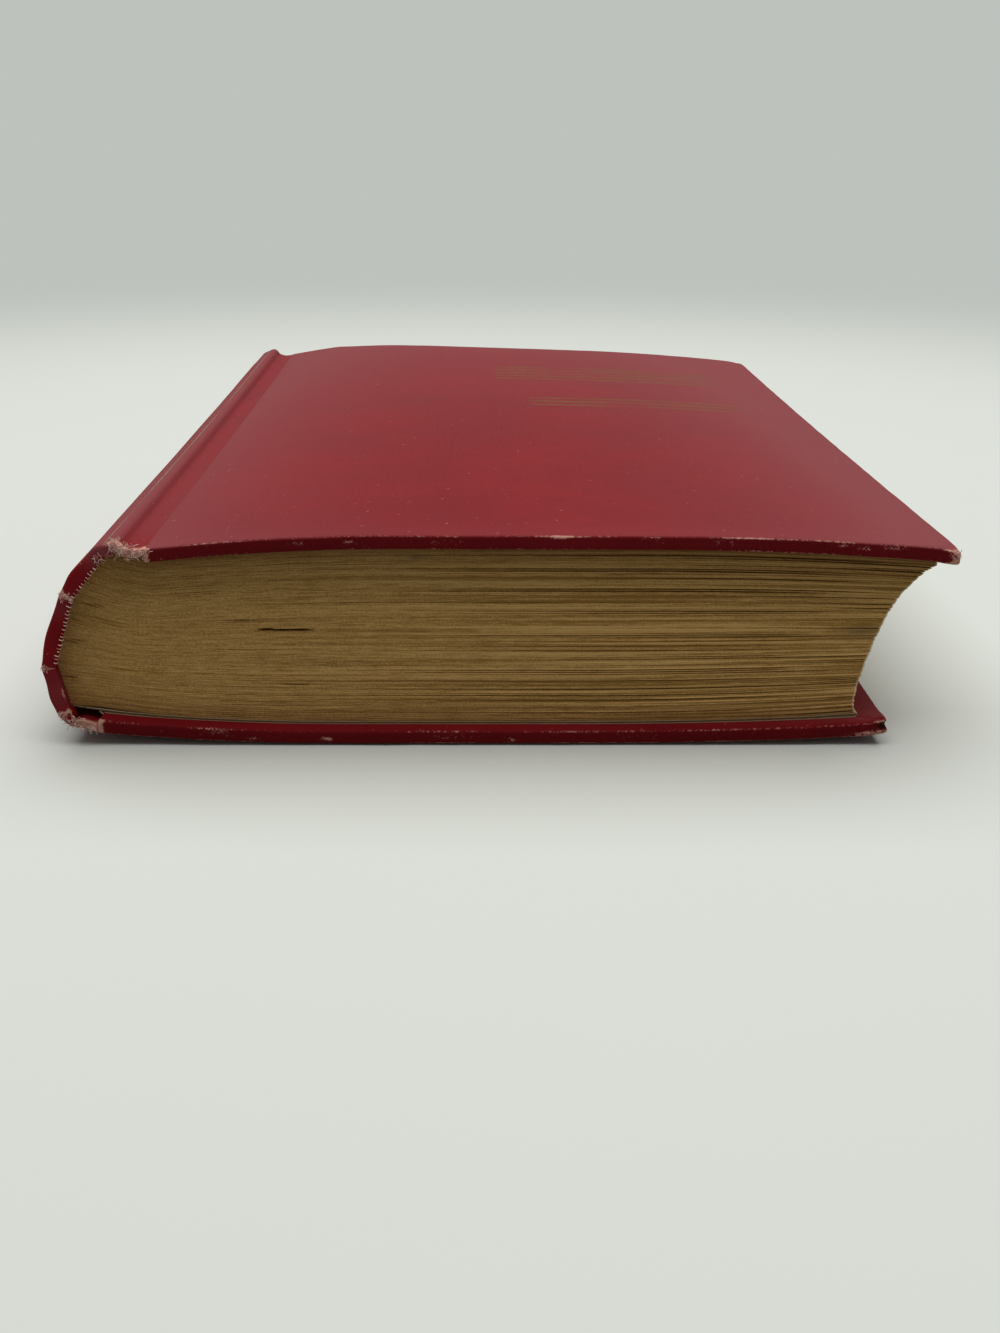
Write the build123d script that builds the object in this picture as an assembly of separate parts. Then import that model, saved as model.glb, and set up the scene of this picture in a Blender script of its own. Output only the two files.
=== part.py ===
"""A worn cloth-bound hardcover book lying on its back cover, spine to the left and tail to the front.

Case binding: two boards and a spine inlay in one cloth, endpapers, and a rounded block of leaves.
The book is cocked: its front cover stands further towards the fore-edge than its back cover.
"""
from math import hypot, sqrt
import os

from build123d import *

# Block of leaves
page_height = 201.0
block_thickness = 31.9
roll = 10.2

# Hollow fore-edge: two points of its curve, from the lowest and from the highest leaf
hollow_low_inset = 1.2
hollow_low_rise = 2.8
hollow_high_inset = 7.3
hollow_high_drop = 10.5

# Covers
board_thickness = 1.5
cloth = 0.35
paper = 0.18
head_square = 3.5
front_fore_square = 2.8
back_fore_square = 3.3
turn_in = 15.0
paste_margin = 3.5
mitre_gap = 0.4
corner_round = 1.6
edge_round = 0.55

# Width of a cover: a flat middle between two margins that curl inwards
spine_margin = 42.0
flat_width = 40.0
fore_margin = 53.2
spine_side_radius = 370.0
fore_side_radius = 650.0

# Joints between the covers and the spine
joint_reach = 2.7
groove_depth = 1.6
groove_flat = 1.1
joint_slit = 0.2

# Spine corners: reach beyond the cover's spine edge, depth below its outer face there
front_ridge_reach = 5.1
front_ridge_depth = -2.1
front_roll_reach = 8.3
front_roll_depth = 0.05
front_crease_reach = 14.6
front_crease_depth = 7.7
middle_crease_reach = 8.8
middle_crease_depth = 11.6
back_crease_reach = 6.8
back_crease_depth = 2.55
back_ridge_reach = 4.3
back_ridge_depth = 0.5

# Roundings of the spine, outside
groove_round = 0.5
front_ridge_round = 1.1
front_roll_round = 3.0
crease_round = 2.5
back_ridge_round = 0.8

# Inside the spine
inlay_thickness = 1.0
inlay_margin = 1.6
spine_turn_in = 14.0
lining_thickness = 0.25
backbone_round = 13.0

# Clearances
hollow_gap = 0.2
leaf_gap = 0.2
shoulder_gap = 0.3

# Worked out from the sizes above
cover_thickness = 2 * cloth + board_thickness
cover_height = page_height + 2 * head_square
paste_depth = cover_thickness + paper
endpaper_depth = paste_depth + leaf_gap
block_depth = endpaper_depth + paper
book_thickness = block_thickness + 2 * block_depth
flat_end = spine_margin + flat_width
cover_width = flat_end + fore_margin
front_leaf_end = cover_width - front_fore_square
back_leaf_end = cover_width - back_fore_square
spine_wall = 2 * cloth + inlay_thickness
backbone_depth = spine_wall + hollow_gap + lining_thickness


def cup(x, depth):
    """Height of the face that lies a depth inside the outer face of a cover, at x from its spine edge."""
    if x < spine_margin:
        beyond, radius = spine_margin - x, spine_side_radius - depth
    else:
        beyond, radius = max(x - flat_end, 0), fore_side_radius - depth
    return depth + radius - sqrt(radius**2 - beyond**2)


edge_rise = cup(0, 0)
groove_level = edge_rise + groove_depth


def back(x, z):
    """A point from the spine edge and the outer face of the back cover."""
    return (x, z)


def front(x, z):
    """A point from the spine edge and the outer face of the front cover."""
    return (roll + x, book_thickness - z)


def cup_line(place, depth, start, end):
    """Section of a cupped face: an arc, the flat middle and an arc."""
    stations = [start, (start + spine_margin) / 2, spine_margin, flat_end, (flat_end + end) / 2, end]
    points = [place(x, cup(x, depth)) for x in stations]
    return [
        ThreePointArc(*points[:3]),
        Line(points[2], points[3]),
        ThreePointArc(*points[3:]),
    ]


def cup_layer(place, near, far, start, end):
    """Section of a cupped sheet between two depths."""
    ends = [Line(place(x, cup(x, near)), place(x, cup(x, far))) for x in (start, end)]
    return make_face(cup_line(place, near, start, end) + cup_line(place, far, start, end) + ends)


def along_spine(section, low, high):
    """Solid of a section, from low to high along the height of the book."""
    return extrude(Plane.XZ.offset(-high) * section, amount=high - low)


def sheet(place, near, far, start, end, height):
    """Cupped sheet of a height, centred on the middle of the book."""
    return along_spine(cup_layer(place, near, far, start, end), -height / 2, height / 2)


def moved_corners(points, distance):
    """Corners of a line moved to its left by a distance."""
    units = []
    for (x0, z0), (x1, z1) in zip(points, points[1:]):
        length = hypot(x1 - x0, z1 - z0)
        units.append(((x1 - x0) / length, (z1 - z0) / length))
    befores = units[:1] + units
    afters = units + units[-1:]
    corners = []
    for (x, z), (ax, az), (bx, bz) in zip(points, befores, afters):
        share = distance / (1 + ax * bx + az * bz)
        corners.append((x - share * (az + bz), z + share * (ax + bx)))
    return corners


def between(start, end, distance):
    """Point on the way from start to end."""
    share = distance / hypot(end[0] - start[0], end[1] - start[1])
    return tuple(a + share * (b - a) for a, b in zip(start, end))


front_hinge = front(-joint_reach - joint_slit / 2, groove_level)
front_groove = front(-joint_reach - groove_flat, groove_level)
front_ridge = front(-front_ridge_reach, edge_rise + front_ridge_depth)
front_roll = front(-front_roll_reach, edge_rise + front_roll_depth)
front_crease = front(-front_crease_reach, edge_rise + front_crease_depth)
middle_crease = back(-middle_crease_reach, edge_rise + middle_crease_depth)
back_crease = back(-back_crease_reach, edge_rise + back_crease_depth)
back_ridge = back(-back_ridge_reach, edge_rise + back_ridge_depth)
back_groove = back(-joint_reach - groove_flat / 2, groove_level)
back_hinge = back(-joint_reach - joint_slit / 2, groove_level)

spine_corners = [front_hinge, front_groove, front_ridge, front_roll, front_crease]
spine_corners += [middle_crease, back_crease, back_ridge, back_groove, back_hinge]
spine_rounds = [-groove_round, front_ridge_round, front_roll_round, crease_round]
spine_rounds += [crease_round, crease_round, back_ridge_round, -groove_round]

inlay_corners = [between(front_ridge, front_roll, inlay_margin), front_roll, front_crease]
inlay_corners += [middle_crease, back_crease, between(back_ridge, back_crease, inlay_margin)]
inlay_rounds = [front_roll_round, crease_round, crease_round, crease_round]


def spine_line(corners, rounds, depth):
    """Section of the face that lies a depth inside the outer face of the spine."""
    return FilletPolyline(*moved_corners(corners, depth), radius=[abs(r - depth) for r in rounds])


def spine_layer(corners, rounds, near, far):
    """Section of a layer of the spine between two depths."""
    outer = spine_line(corners, rounds, near)
    inner = spine_line(corners, rounds, far)
    ends = [Line(outer @ 0, inner @ 0), Line(outer @ 1, inner @ 1)]
    return make_face(outer.edges() + inner.edges() + ends)


backbone_corners = moved_corners(inlay_corners, backbone_depth)[:4]
leaf_start = moved_corners(inlay_corners, backbone_depth)[4][0]
backbone_corners.append(back(leaf_start, cup(leaf_start, block_depth)))
lining_corners = moved_corners(inlay_corners, backbone_depth - lining_thickness)[:5]


def back_line(corners, rounding):
    """Section of the rounded back: a straight shoulder, then a line bent round at the creases."""
    return [Line(*corners[:2])] + FilletPolyline(*corners[1:], radius=rounding).edges()


def block_section():
    """Outline of the leaves: cupped faces, hollow fore-edge, shoulder and rounded backbone."""
    low_corner = back(back_leaf_end, cup(back_leaf_end, block_depth))
    high_corner = front(front_leaf_end, cup(front_leaf_end, block_depth))
    low_hollow = (low_corner[0] - hollow_low_inset, low_corner[1] + hollow_low_rise)
    high_hollow = (high_corner[0] - hollow_high_inset, high_corner[1] - hollow_high_drop)
    fore_edge = Spline(low_corner, low_hollow, high_hollow, high_corner)
    foot = front(-joint_reach - groove_flat, groove_level + cloth + shoulder_gap)
    shoulder_start = front(-cloth, cup(-cloth, block_depth))
    shoulder = Polyline(shoulder_start, foot, backbone_corners[0])
    backbone = back_line(backbone_corners, backbone_round)
    faces = cup_line(back, block_depth, leaf_start, back_leaf_end)
    faces += cup_line(front, block_depth, -cloth, front_leaf_end)
    return make_face(faces + [fore_edge] + shoulder.edges() + backbone)


def lining_section():
    """Gauze and paper glued on the backbone."""
    inner = back_line(backbone_corners, backbone_round)
    outer = back_line(lining_corners, backbone_round + lining_thickness)
    ends = [Line(a, b) for a, b in zip(lining_corners[::4], backbone_corners[::4])]
    return make_face(outer + inner + ends)


def board(place):
    """Stiff board of a cover, inside the cloth."""
    return sheet(
        place, cloth, cloth + board_thickness, cloth, cover_width - cloth, cover_height - 2 * cloth
    )


def is_rim(edge, spine_x):
    """True for the edges round the head, fore-edge and tail of a cover, outside and inside."""
    middle = edge.center()
    at_end = abs(abs(middle.Y) - cover_height / 2) < corner_round
    return at_end or middle.X - spine_x > cover_width - corner_round


def mitre_cut(place, side):
    """Slit between the turned-in cloth of the fore-edge and of the head or tail, at one corner."""
    middle = cover_width - turn_in
    x, z = place(middle, cup(middle, cover_thickness))
    slit = Box(mitre_gap, 2 * (turn_in * sqrt(2) - 2 * corner_round), 2 * cloth)
    return Pos(x, side * (cover_height / 2 - turn_in), z) * Rot(0, 0, -side * 45) * slit


def cover_cloth(place):
    """Cloth of a cover: outer face, edges, turn-ins with mitred corners and its half of the joint."""
    spine_x = place(0, 0)[0]
    body = sheet(place, 0, cover_thickness, 0, cover_width, cover_height)
    uprights = body.edges().filter_by(Axis.Z)
    body = fillet([e for e in uprights if e.center().X > spine_x + flat_end], corner_round)
    rims = [e for e in body.edges().filter_by(Axis.Z, reverse=True) if is_rim(e, spine_x)]
    body = fillet(rims, edge_round)
    lining_height = cover_height - 2 * turn_in
    body -= sheet(
        place, cloth + board_thickness, cover_thickness + cloth, -cloth, cover_width - turn_in, lining_height
    )
    body -= board(place)
    for side in (-1, 1):
        body -= mitre_cut(place, side)
    start = -joint_reach + joint_slit / 2
    strip = [place(start, groove_level), place(start, groove_level + cloth)]
    strip += [place(cloth, groove_level + cloth), place(cloth, groove_level)]
    body += along_spine(make_face(Polyline(*strip, close=True)), -cover_height / 2, cover_height / 2)
    return body


def pastedown(place):
    """Endpaper leaf glued inside a cover: on the board in the middle, stepped up over the turn-ins."""
    middle_end = cover_width - turn_in
    middle_height = cover_height - 2 * turn_in
    board_face = cloth + board_thickness
    outer_end = cover_width - paste_margin
    outer_height = cover_height - 2 * paste_margin
    whole = sheet(place, cover_thickness, paste_depth, cloth, outer_end, outer_height)
    whole += sheet(place, board_face, paste_depth, cloth, middle_end, middle_height)
    return whole - sheet(
        place, board_face + paper, paste_depth + paper, 0, middle_end - paper, middle_height - 2 * paper
    )


def free_endpaper(place, start, end):
    """Endpaper leaf that lies on the block."""
    return sheet(place, endpaper_depth, block_depth, start, end, page_height)


def spine_cloth():
    """Cloth of the spine with its halves of the two joints, turned in over the inlay at head and tail."""
    end = cover_height / 2
    outer = spine_layer(spine_corners, spine_rounds, 0, cloth)
    edge = spine_layer(inlay_corners, inlay_rounds, 0, spine_wall)
    inner = spine_layer(inlay_corners, inlay_rounds, cloth + inlay_thickness, spine_wall)
    body = along_spine(outer, -end, end)
    for low, high in ((-end, -end + cloth), (end - cloth, end)):
        body += along_spine(edge, low, high)
    for low, high in ((-end, -end + spine_turn_in), (end - spine_turn_in, end)):
        body += along_spine(inner, low, high)
    return body


def spine_inlay():
    """Strip of card that stiffens the spine."""
    section = spine_layer(inlay_corners, inlay_rounds, cloth, cloth + inlay_thickness)
    return along_spine(section, cloth - cover_height / 2, cover_height / 2 - cloth)


nodes = {
    "text_block": along_spine(block_section(), -page_height / 2, page_height / 2),
    "spine_lining": along_spine(lining_section(), -page_height / 2, page_height / 2),
    "front_free_endpaper": free_endpaper(front, -cloth, front_leaf_end),
    "back_free_endpaper": free_endpaper(back, leaf_start, back_leaf_end),
    "spine_inlay": spine_inlay(),
    "spine_cloth": spine_cloth(),
    "front_board": board(front),
    "front_cloth": cover_cloth(front),
    "front_pastedown": pastedown(front),
    "back_board": board(back),
    "back_cloth": cover_cloth(back),
    "back_pastedown": pastedown(back),
}

# The origin is under the middle of the book, on the surface it lies on
extent = Compound(list(nodes.values())).bounding_box()
to_origin = Pos(-extent.center().X, 0, -extent.min.Z)

os.makedirs("parts", exist_ok=True)
for name, solid in nodes.items():
    export_step(to_origin * solid, f"parts/{name}.step")
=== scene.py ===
"""Looks of a worn cloth-bound book: its leaves, cloth, paper and loose threads, on a pale table."""
import math
import random
from contextlib import contextmanager

import bmesh
import bpy
import numpy as np
from mathutils import Matrix, Vector, noise


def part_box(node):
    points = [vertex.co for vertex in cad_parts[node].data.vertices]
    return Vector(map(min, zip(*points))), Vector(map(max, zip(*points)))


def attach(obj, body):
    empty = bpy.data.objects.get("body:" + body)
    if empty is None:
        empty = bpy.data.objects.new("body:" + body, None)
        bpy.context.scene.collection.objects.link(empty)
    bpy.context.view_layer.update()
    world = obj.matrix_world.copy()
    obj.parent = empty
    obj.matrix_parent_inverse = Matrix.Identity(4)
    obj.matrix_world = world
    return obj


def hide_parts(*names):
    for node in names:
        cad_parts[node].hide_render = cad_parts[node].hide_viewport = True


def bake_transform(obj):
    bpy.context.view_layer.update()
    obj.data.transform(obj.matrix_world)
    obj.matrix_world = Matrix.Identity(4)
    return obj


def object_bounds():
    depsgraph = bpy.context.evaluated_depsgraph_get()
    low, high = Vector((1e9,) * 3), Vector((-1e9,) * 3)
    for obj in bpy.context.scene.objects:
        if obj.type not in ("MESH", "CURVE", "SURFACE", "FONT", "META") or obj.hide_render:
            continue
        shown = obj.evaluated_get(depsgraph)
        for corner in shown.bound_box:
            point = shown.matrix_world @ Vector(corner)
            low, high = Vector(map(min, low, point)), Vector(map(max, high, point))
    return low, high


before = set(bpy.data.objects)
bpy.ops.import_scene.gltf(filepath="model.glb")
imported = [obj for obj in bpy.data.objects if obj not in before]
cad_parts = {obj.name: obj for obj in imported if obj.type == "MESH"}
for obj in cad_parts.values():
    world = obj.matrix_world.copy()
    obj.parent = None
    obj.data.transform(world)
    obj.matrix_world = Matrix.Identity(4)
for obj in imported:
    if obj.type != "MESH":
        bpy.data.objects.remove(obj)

cad_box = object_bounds()
mm = 0.001
chance = random.Random(12)

# Layers of the covers, in millimetres
cloth = 0.35
board_thickness = 1.5
paper = 0.18
leaf_gap = 0.2
cover_thickness = 2 * cloth + board_thickness
block_depth = cover_thickness + paper + leaf_gap + paper

# Cupped covers: a flat middle between two margins that curl inwards
spine_margin = 42.0
flat_end = 82.0
spine_side_radius = 370.0
fore_side_radius = 650.0
turn_in = 15.0
turn_in_step = 0.3
turn_in_slope = 0.4
corner_round = 0.9
edge_round = 0.4
back_spread = 1.2
mitre_width = 0.5
mitre_depth = 0.25
mitre_margin = 3.0

# Places that the solids give
book_thickness = cad_box[1].z / mm
back_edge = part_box("back_board")[0].x / mm - cloth
front_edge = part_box("front_board")[0].x / mm - cloth
cover_width = (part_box("back_board")[1].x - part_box("back_board")[0].x) / mm + 2 * cloth
cover_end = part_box("back_board")[1].y / mm + cloth
leaf_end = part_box("text_block")[1].y / mm
turn_in_x = cover_width - turn_in
turn_in_y = cover_end - turn_in
inner_face = cover_thickness - edge_round

# Levels about which the cloth joints bend
front_joint_level = 33.7

# Outer face of the spine in section, from the front joint to the back joint
front_slope = (front_edge - 3.5, front_joint_level)
front_ridge = (front_edge - 4.3, 36.6)
front_roll = (front_edge - 8.3, 35.12)
front_crease = (front_edge - 14.6, 27.33)
middle_crease = (back_edge - 8.8, 13.99)
back_crease = (back_edge - 6.8, 4.94)
back_ridge = (back_edge - 4.3, 2.89)
back_slope = (back_edge - 3.3, 3.7)
ridge_round = 1.4
roll_round = 2.6
crease_round = 1.0
back_ridge_round = 0.7
spine_wall = 1.7
wall_taper = 2.0
taper_start = 0.6
spine_rim = 0.75
spine_rim_reach = 1.8
spine_edge_round = 0.5
panel_bulges = (0.5, 0.45, 0.4, 0.1)
panel_skew = 1.4
# The lining of the backbone stops short of the leaves' ends
lining_short = 1.5

# Soft joints of cloth between the spine and the covers, in section from each cover's spine edge
front_joint = [(-4.1, 35.6), (-3.5, 34.95), (-2.8, 34.7), (-1.7, 34.6), (-0.6, 34.8)]
front_joint += [(0.3, 34.97), (1.7, 34.9)]
back_joint = [(-3.9, 2.95), (-3.2, 3.1), (-2.4, 3.05), (-1.3, 2.8), (-0.5, 2.55)]
back_joint += [(0.3, 2.44), (1.7, 2.5)]
joint_width = 4.5
joint_round = 0.5
joint_sag = 0.12
joint_sag_width = 4.0
joint_sag_length = 12.0
joint_turn_in = 2.4
joint_turn_in_reach = 5.0

# Paper hinges between each free endpaper and its pastedown, in section from the cover's spine edge
front_hinge = [(-0.4, 32.4), (-0.1, 32.72), (0.4, 33.04)]
back_hinge = [(-0.4, 5.02), (-0.1, 4.7), (0.4, 4.38)]
hinge_round = 0.15

# Twist of the old book: its upper part is lifted at the head of the spine and dropped at the fore-edge
twist_start = 6.0
ridge_lift = 0.9
joint_lift = 0.5
board_lift = 1.6
board_lift_place = 14.0
fore_drop = 1.56
middle_sag = 0.5
# Tail corners of the back cover, flattened under the book's weight
settle_top = 6.0
settle_fade = 2.0
corner_settle = 0.65
spine_settle = 0.4

# Stack of leaves before it is bent into the book
stack_width = 148.0
stack_height = 31.9
leaf_rows = 3
leaf_count = 80
flare_reach = 12.0
shoulder_reach = 9.0
back_gap = -0.05
back_round = 2.0
shoulder_share = 0.2

# Hollow fore-edge: x from the back cover's spine edge to the lowest leaves, and how far the others stand out
fore_low = 130.7
fore_lean = 8.0
fore_lean_power = 1.25
fore_curl = 6.2
fore_curl_power = 6
fore_lip = 1.2
fore_lip_share = 0.045
fore_limit = 142.95
fore_rim = 0.35

# Uneven edges of the leaves: depths, lengths along a leaf and how much one leaf differs from the next
crest_depth = 0.12
crest_ripple = 0.05
crest_length = 9.0
crest_change = 0.83
wander_depth = 0.12
wander_length = 70.0
wander_change = 0.91
sheaf_depth = 0.04
sheaf_turn = 0.55
sheaf_length = 60.0
sheaf_change = 0.02
opening_length = 12.0
opening_length_loose = 22.0
opening_change = 1.7
opening_gain = 0.15
opening_loss = 0.12
groove_depth = 0.03
opened_depth = 0.2
opened_depth_loose = 0.7
least_inset = 0.02
most_inset = 1.0
loose_start = 30.0
loose_length = 95.0
loose_fore = 0.8
fore_shift = 400.0

# Open slits between leaves at the tail: middle, level, half length, depth, half height
slits = [(-36.2, 19.75, 4.6, 2.2, 0.18), (-43.5, 21.35, 3.0, 0.45, 0.1), (-34.7, 9.65, 3.8, 0.35, 0.1)]
slits += [(-72.1, 17.6, 1.5, 0.6, 0.1), (-73.7, 11.1, 1.4, 0.6, 0.1), (-71.0, 21.5, 1.3, 0.4, 0.08)]
slits += [(-68.2, 24.2, 1.6, 0.4, 0.08)]
slit_waver = 0.15
slit_waver_length = 2.5

# Painted shade of the leaves in their open gaps, under the front cover and above the endpaper, a painted
# highlight on the fore-edge, soil and painted shade along the top and lowest leaves, and stains at the tail:
# middle, half width, level, half height, strength
top_shade_rate = 9
low_shade = 0.6
low_shade_rate = 40
gap_shade_share = 0.3
gap_shade_share_loose = 1.1
fore_highlight = 0.4
end_rows_soil_and_shade = 0.12
low_soil_shade_rate = 16
top_soil_shade_rate = 12
stains = [(62.6, 3.2, 19.5, 0.9, 0.8), (-13.4, 0.9, 32.6, 0.5, 1.2)]

# Unevenness of the covers: heights, sizes across, and how far in from the rim
rim_width = 2.5
rim_reach = 3.0
rim_swell = 0.3
dent_height = 0.1
dent_size = 9.0
dent_limit = 0.12
pit_height = 0.04
pit_size = 4.0
wave_height = 0.1
wave_size = 35.0
push_height = 0.1
push_reach = 1.2
push_size = 6.0
push_length = 11.0
push_bias = 0.3
corner_swell = 0.3
corner_swell_reach = 4.0
corner_push = 0.45
corner_push_reach = 2.0
corner_thinning = 0.28
corner_thinning_reach = 1.2
corner_droop = 0.35
corner_droop_reach = 2.6

# Rubbed cloth of the covers
outer_rub = 0.4
inner_rub = 0.33
rub_place = 0.1
rub_width = 0.3
rub_depth = 0.22
rub_change = 0.7
rub_length = 12.0
edge_rub = 0.2
edge_rub_reach = 0.8
scuff_reach = 0.8
scuff_height = 0.5
fray_tail = 0.8
fray_head = 0.6
fray_width = 0.4
fray_reach = 1.4

# Scuffs along each cover's tail: middle, half width, depth from the outer face, strength
back_scuffs = [(38.8, 1.6, 0.9, 0.6), (20, 3, 1.5, 0.35), (26, 2, 0.8, 0.35), (60, 6, 1.2, 0.3)]
back_scuffs += [(70.5, 1.4, 0.8, 0.45), (94, 9, 1.2, 0.25), (131, 3, 0.7, 0.45)]
front_scuffs = [(25.5, 1.6, 1.0, 0.42), (33.9, 1.4, 1.1, 0.45), (48, 1.4, 1.2, 0.35), (51.5, 1.2, 0.9, 0.35)]
front_scuffs += [(68.5, 2, 0.3, 0.42), (84, 2, 0.6, 0.3), (95.5, 3, 0.9, 0.35), (115.5, 1.4, 0.7, 0.4)]
front_scuffs += [(119, 1.2, 1.0, 0.5), (124, 3, 0.7, 0.4)]
# Worn corners of each cover: -1 for tail or 1 for head, size, strength
back_corners = [(-1, 2.2, 0.4), (1, 2.2, 0.4)]
front_corners = [(-1, 2.0, 0.6), (1, 2.2, 0.5)]

# Open fold of the cloth at the back cover's tail corner, with painted shade in it
notch_width = 1.1
notch_reach = 1.3
notch_depth = 1.5
notch_height = 0.5
notch_shade = 1.7
notch_push = 0.7

# Painted sheen on the cloth of the covers, and darker cloth along their rims below the top face
least_haze = 0.08
fore_haze = 1.2
fore_haze_reach = 24.0
spine_haze = 0.7
spine_haze_reach = 22.0
rim_haze = 0.2
rim_haze_reach = 5.0
head_haze = 0.6
turn_in_haze = 0.6
turn_in_haze_reach = 12.0
turn_in_haze_start = 1.5
rim_darkening = 0.3
rim_darkening_reach = 0.5

# Unevenness and wear of the spine, and painted sheen on its ridge
spine_dent = 0.1
spine_dent_width = 5.0
spine_dent_length = 16.0
spine_dent_reach = 12.0
spine_wave = 0.08
spine_wave_width = 9.0
spine_wave_length = 30.0
spine_torn = 0.25
spine_torn_reach = 2.0
spine_torn_width = 3.0
spine_torn_bias = 0.5
spine_torn_shift = 3.0
spine_rub_place = 0.2
spine_rub_width = 0.5
spine_outer_rub = 0.3
spine_outer_place = 0.1
spine_outer_depth = 0.3
spine_inner_rub = 0.35
spine_inner_place = 0.05
spine_inner_depth = 0.25
crease_rub = 0.3
crease_rub_width = 0.5
crease_fray_tail = 0.95
crease_fray_head = 0.55
crease_fray_reach = 1.2
crease_fray_widths = (0.9, 0.45, 1.0)
ridge_rub = 0.1
ridge_rub_width = 1.2
ridge_rub_depth = 0.8
ridge_haze = 0.55
ridge_haze_width = 2.5
end_fray_reach = 1.6

# Wear of the cloth joints, and painted sheen on them
front_fray = 1.1
back_fray = 0.65
joint_fray_reach = 2.4
joint_rub = 0.5
joint_rub_reach = 1.6
joint_least_rub = 0.1
joint_torn_reach = 0.8
joint_torn = 0.25
joint_torn_change = 0.35
joint_torn_width = 1.3
joint_patch = 0.8
joint_patch_size = 0.8
joint_wear_end = 1.2
joint_wear_fade = 1.5
joint_haze = 0.45
joint_tail_haze = 0.3
joint_haze_length = 20.0

# Blocks of worn gilt rules on the front cover: start, end, level, half height
gilt_blocks = [(2, 68, 61, 9.8), (10, 72, 20, 5.4)]
gilt_pitch = 4.4
gilt_edge = 0.4
gilt_softness = 0.15
gilt_least = 0.3
gilt_start_depth = 2.4
gilt_full_depth = 2.2

# Loose threads
thread_radius = 0.05
thread_weights = (0.5, 1.2)
thread_steps = 4
thread_step_shares = (0.12, 0.35)
thread_limit = 0.35
heading_spread = (0.5, 0.4, 0.5)
curl_across = 0.5
# Thread ends inside the spine's tail, with their path: depth short of the inner edge, place in from the tail
tick_start = 1.5
tick_stop = 0.8
tick_spacing = 0.7
tick_weight = 1.9
tick_waver = 0.15
tick_slant = 0.25
tick_lengths = (0.3, 0.65)
tick_path = [(0.2, -0.08), (-0.06, 0.1), (0.0, 0.7)]
# Tufts on the spine's creases: height and count of each, and what they share
crease_tufts = [(0.6, 26), (0.35, 16), (0.7, 22)]
crease_tuft_inside = 0.05
crease_tuft_depth = 0.9
crease_tuft_length = 0.8
crease_tuft_least = 0.1
crease_tuft_width = 0.32
crease_tuft_reach = 0.08
crease_tuft_way = -0.1
# Tuft at the spine's roll: spread, way, count and length
roll_tuft = ((0.8, 0.1, 0.4), (0.6, -0.1, 0.2), 22, 1.0)
roll_tuft_place = 0.8
roll_tuft_inside = 0.1
roll_tuft_depth = 1.7
# Other tufts: centre from an edge, the tail and the table, then spread, way, count, length and curl
soft_curl = 0.7
strong_curl = 1.0
front_joint_tufts = [((-3.6, 0.1, 35.0), (0.9, 0.25, 0.5), (0.3, -0.2, 0.0), 60, 1.4, soft_curl)]
front_joint_tufts += [((-1.6, 0.1, 34.2), (0.8, 0.2, 0.5), (0.4, -0.2, -0.2), 60, 1.4, strong_curl)]
front_joint_tufts += [((-4.7, 0.4, 36.2), (0.4, 0.4, 0.15), (0.2, -0.2, 0.1), 24, 0.9, soft_curl)]
back_joint_tufts = [((-4.2, 0.1, 4.0), (0.9, 0.15, 0.4), (0.4, -0.15, 0.0), 40, 1.1, soft_curl)]
back_joint_tufts += [((-1.6, 0.1, 3.0), (0.8, 0.15, 0.3), (0.4, -0.15, 0.1), 46, 1.1, soft_curl)]
front_corner_tufts = [((-0.9, 0.45, 34.0), (0.4, 0.35, 0.5), (0.1, -0.3, -0.1), 30, 0.7, soft_curl)]
back_corner_tufts = [((-1.6, 0.15, 2.8), (0.8, 0.1, 0.3), (0.3, -0.2, 0.2), 24, 0.7, soft_curl)]

# Colours, as linear red, green and blue
deep_red = (0.185, 0.0055, 0.009)
bright_red = (0.25, 0.0095, 0.0135)
grimy_red = (0.15, 0.005, 0.008)
lit_red = (0.32, 0.03, 0.036)
sheen_red = (0.25, 0.06, 0.064)
shade_and_rim_dark = (0.012, 0.002, 0.002)
speck_pink = (0.55, 0.3, 0.26)
gilt_brown = (0.17, 0.1, 0.035)
rubbed_red = (0.42, 0.11, 0.1)
rubbed_pink = (0.6, 0.2, 0.15)
rubbed_pale = (0.9, 0.58, 0.46)
bare_brown = (0.34, 0.2, 0.13)
page_brown = (0.35, 0.186, 0.044)
page_cream = (0.735, 0.45, 0.158)
page_shade = (0.12, 0.052, 0.009)
page_highlight = (0.92, 0.78, 0.5)
page_soil_and_shade = (0.15, 0.11, 0.06)
paper_dark = (0.62, 0.47, 0.28)
paper_light = (0.72, 0.59, 0.38)
paper_fibre = (0.55, 0.4, 0.22)
paper_spot = (0.42, 0.25, 0.1)
cut_end_dark = (0.13, 0.07, 0.02)
board_dark = (0.2, 0.15, 0.1)
board_light = (0.36, 0.29, 0.2)
lining_dark = (0.4, 0.31, 0.2)
lining_light = (0.58, 0.47, 0.32)
thread_red = (0.48, 0.14, 0.12)
thread_pale = (0.86, 0.62, 0.54)
table_dull = (0.73, 0.755, 0.70)
table_bright = (0.75, 0.775, 0.72)
table_unseen = (0.38, 0.39, 0.37)
fill_light = (0.142, 0.145, 0.142)
backdrop_grey = (0.51, 0.54, 0.51)

# How much of each mark shows in the cloth
grime_share = 0.3
sheen_share = 0.9
lit_least = 0.08
lit_by_sheen = 0.36
speck_share = 0.4
pinhole_share = 0.35
gilt_share = 0.8
rubbed_share = 0.85
bare_share = 0.5
wear_weight = 0.75
weave_in_wear = 0.05
weave_in_light = 0.25
pinholes_by_wear = 0.14
# How much of each mark shows in the paper
shade_tint = 0.75
highlight_tint = 0.8
soil_and_shade_tint = 0.7
fibre_tint = 0.25
spot_tint = 0.35
pasted_end_tint = 0.3
free_end_shade = 0.8
cut_end_start = 0.06
cut_end_full = 0.03
line_least = 0.4
line_by_loose = 2.9
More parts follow.
